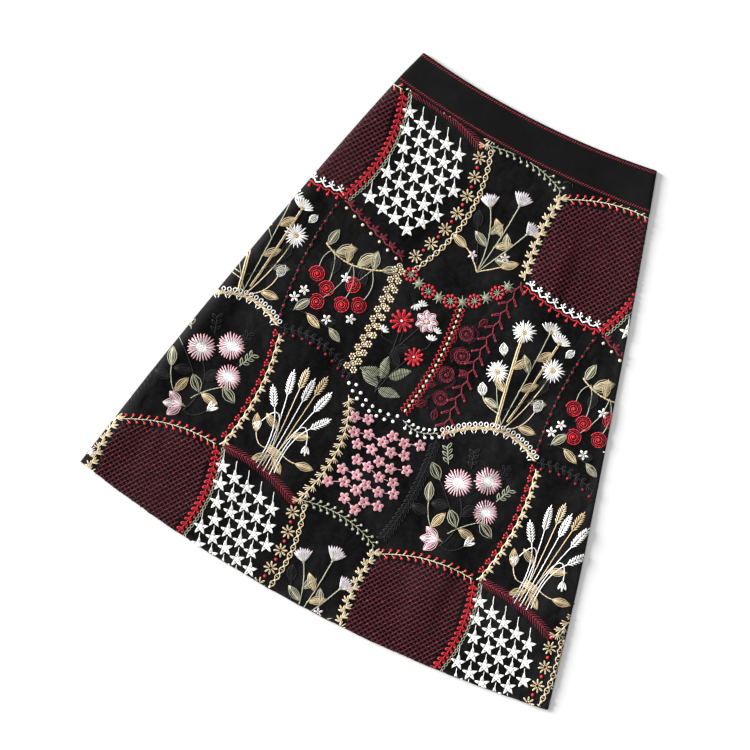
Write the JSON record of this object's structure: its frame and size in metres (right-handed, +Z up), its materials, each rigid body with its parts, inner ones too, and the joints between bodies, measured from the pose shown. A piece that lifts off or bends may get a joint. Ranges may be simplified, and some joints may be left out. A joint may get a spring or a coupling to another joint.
{
  "type": "embroidered skirt",
  "caption": "Flared knee-length skirt laid flat, with a plain firm waistband and cotton panels embroidered all over in patches, flowers and seam stitches.",
  "frame": {"origin": "on the surface that the skirt lies on, under the middle of its outline", "axes": "+Z up from the surface, +Y towards the waist, +X to the right seen from above"},
  "size_m": [0.635, 0.66, 0.0061],
  "materials": {
    "embroidered_cotton": "matte black cotton with a fine plain weave",
    "waistband_cloth": "smooth matte black firm knit",
    "embroidery_thread": "softly shining twisted embroidery thread",
    "sewing_thread": "dark red sewing thread"
  },
  "bodies": {
    "root": {"front_panel": "embroidered_cotton", "back_panel": "embroidered_cotton", "front_waistband": "waistband_cloth", "back_waistband": "waistband_cloth"}
  },
  "joints": []
}
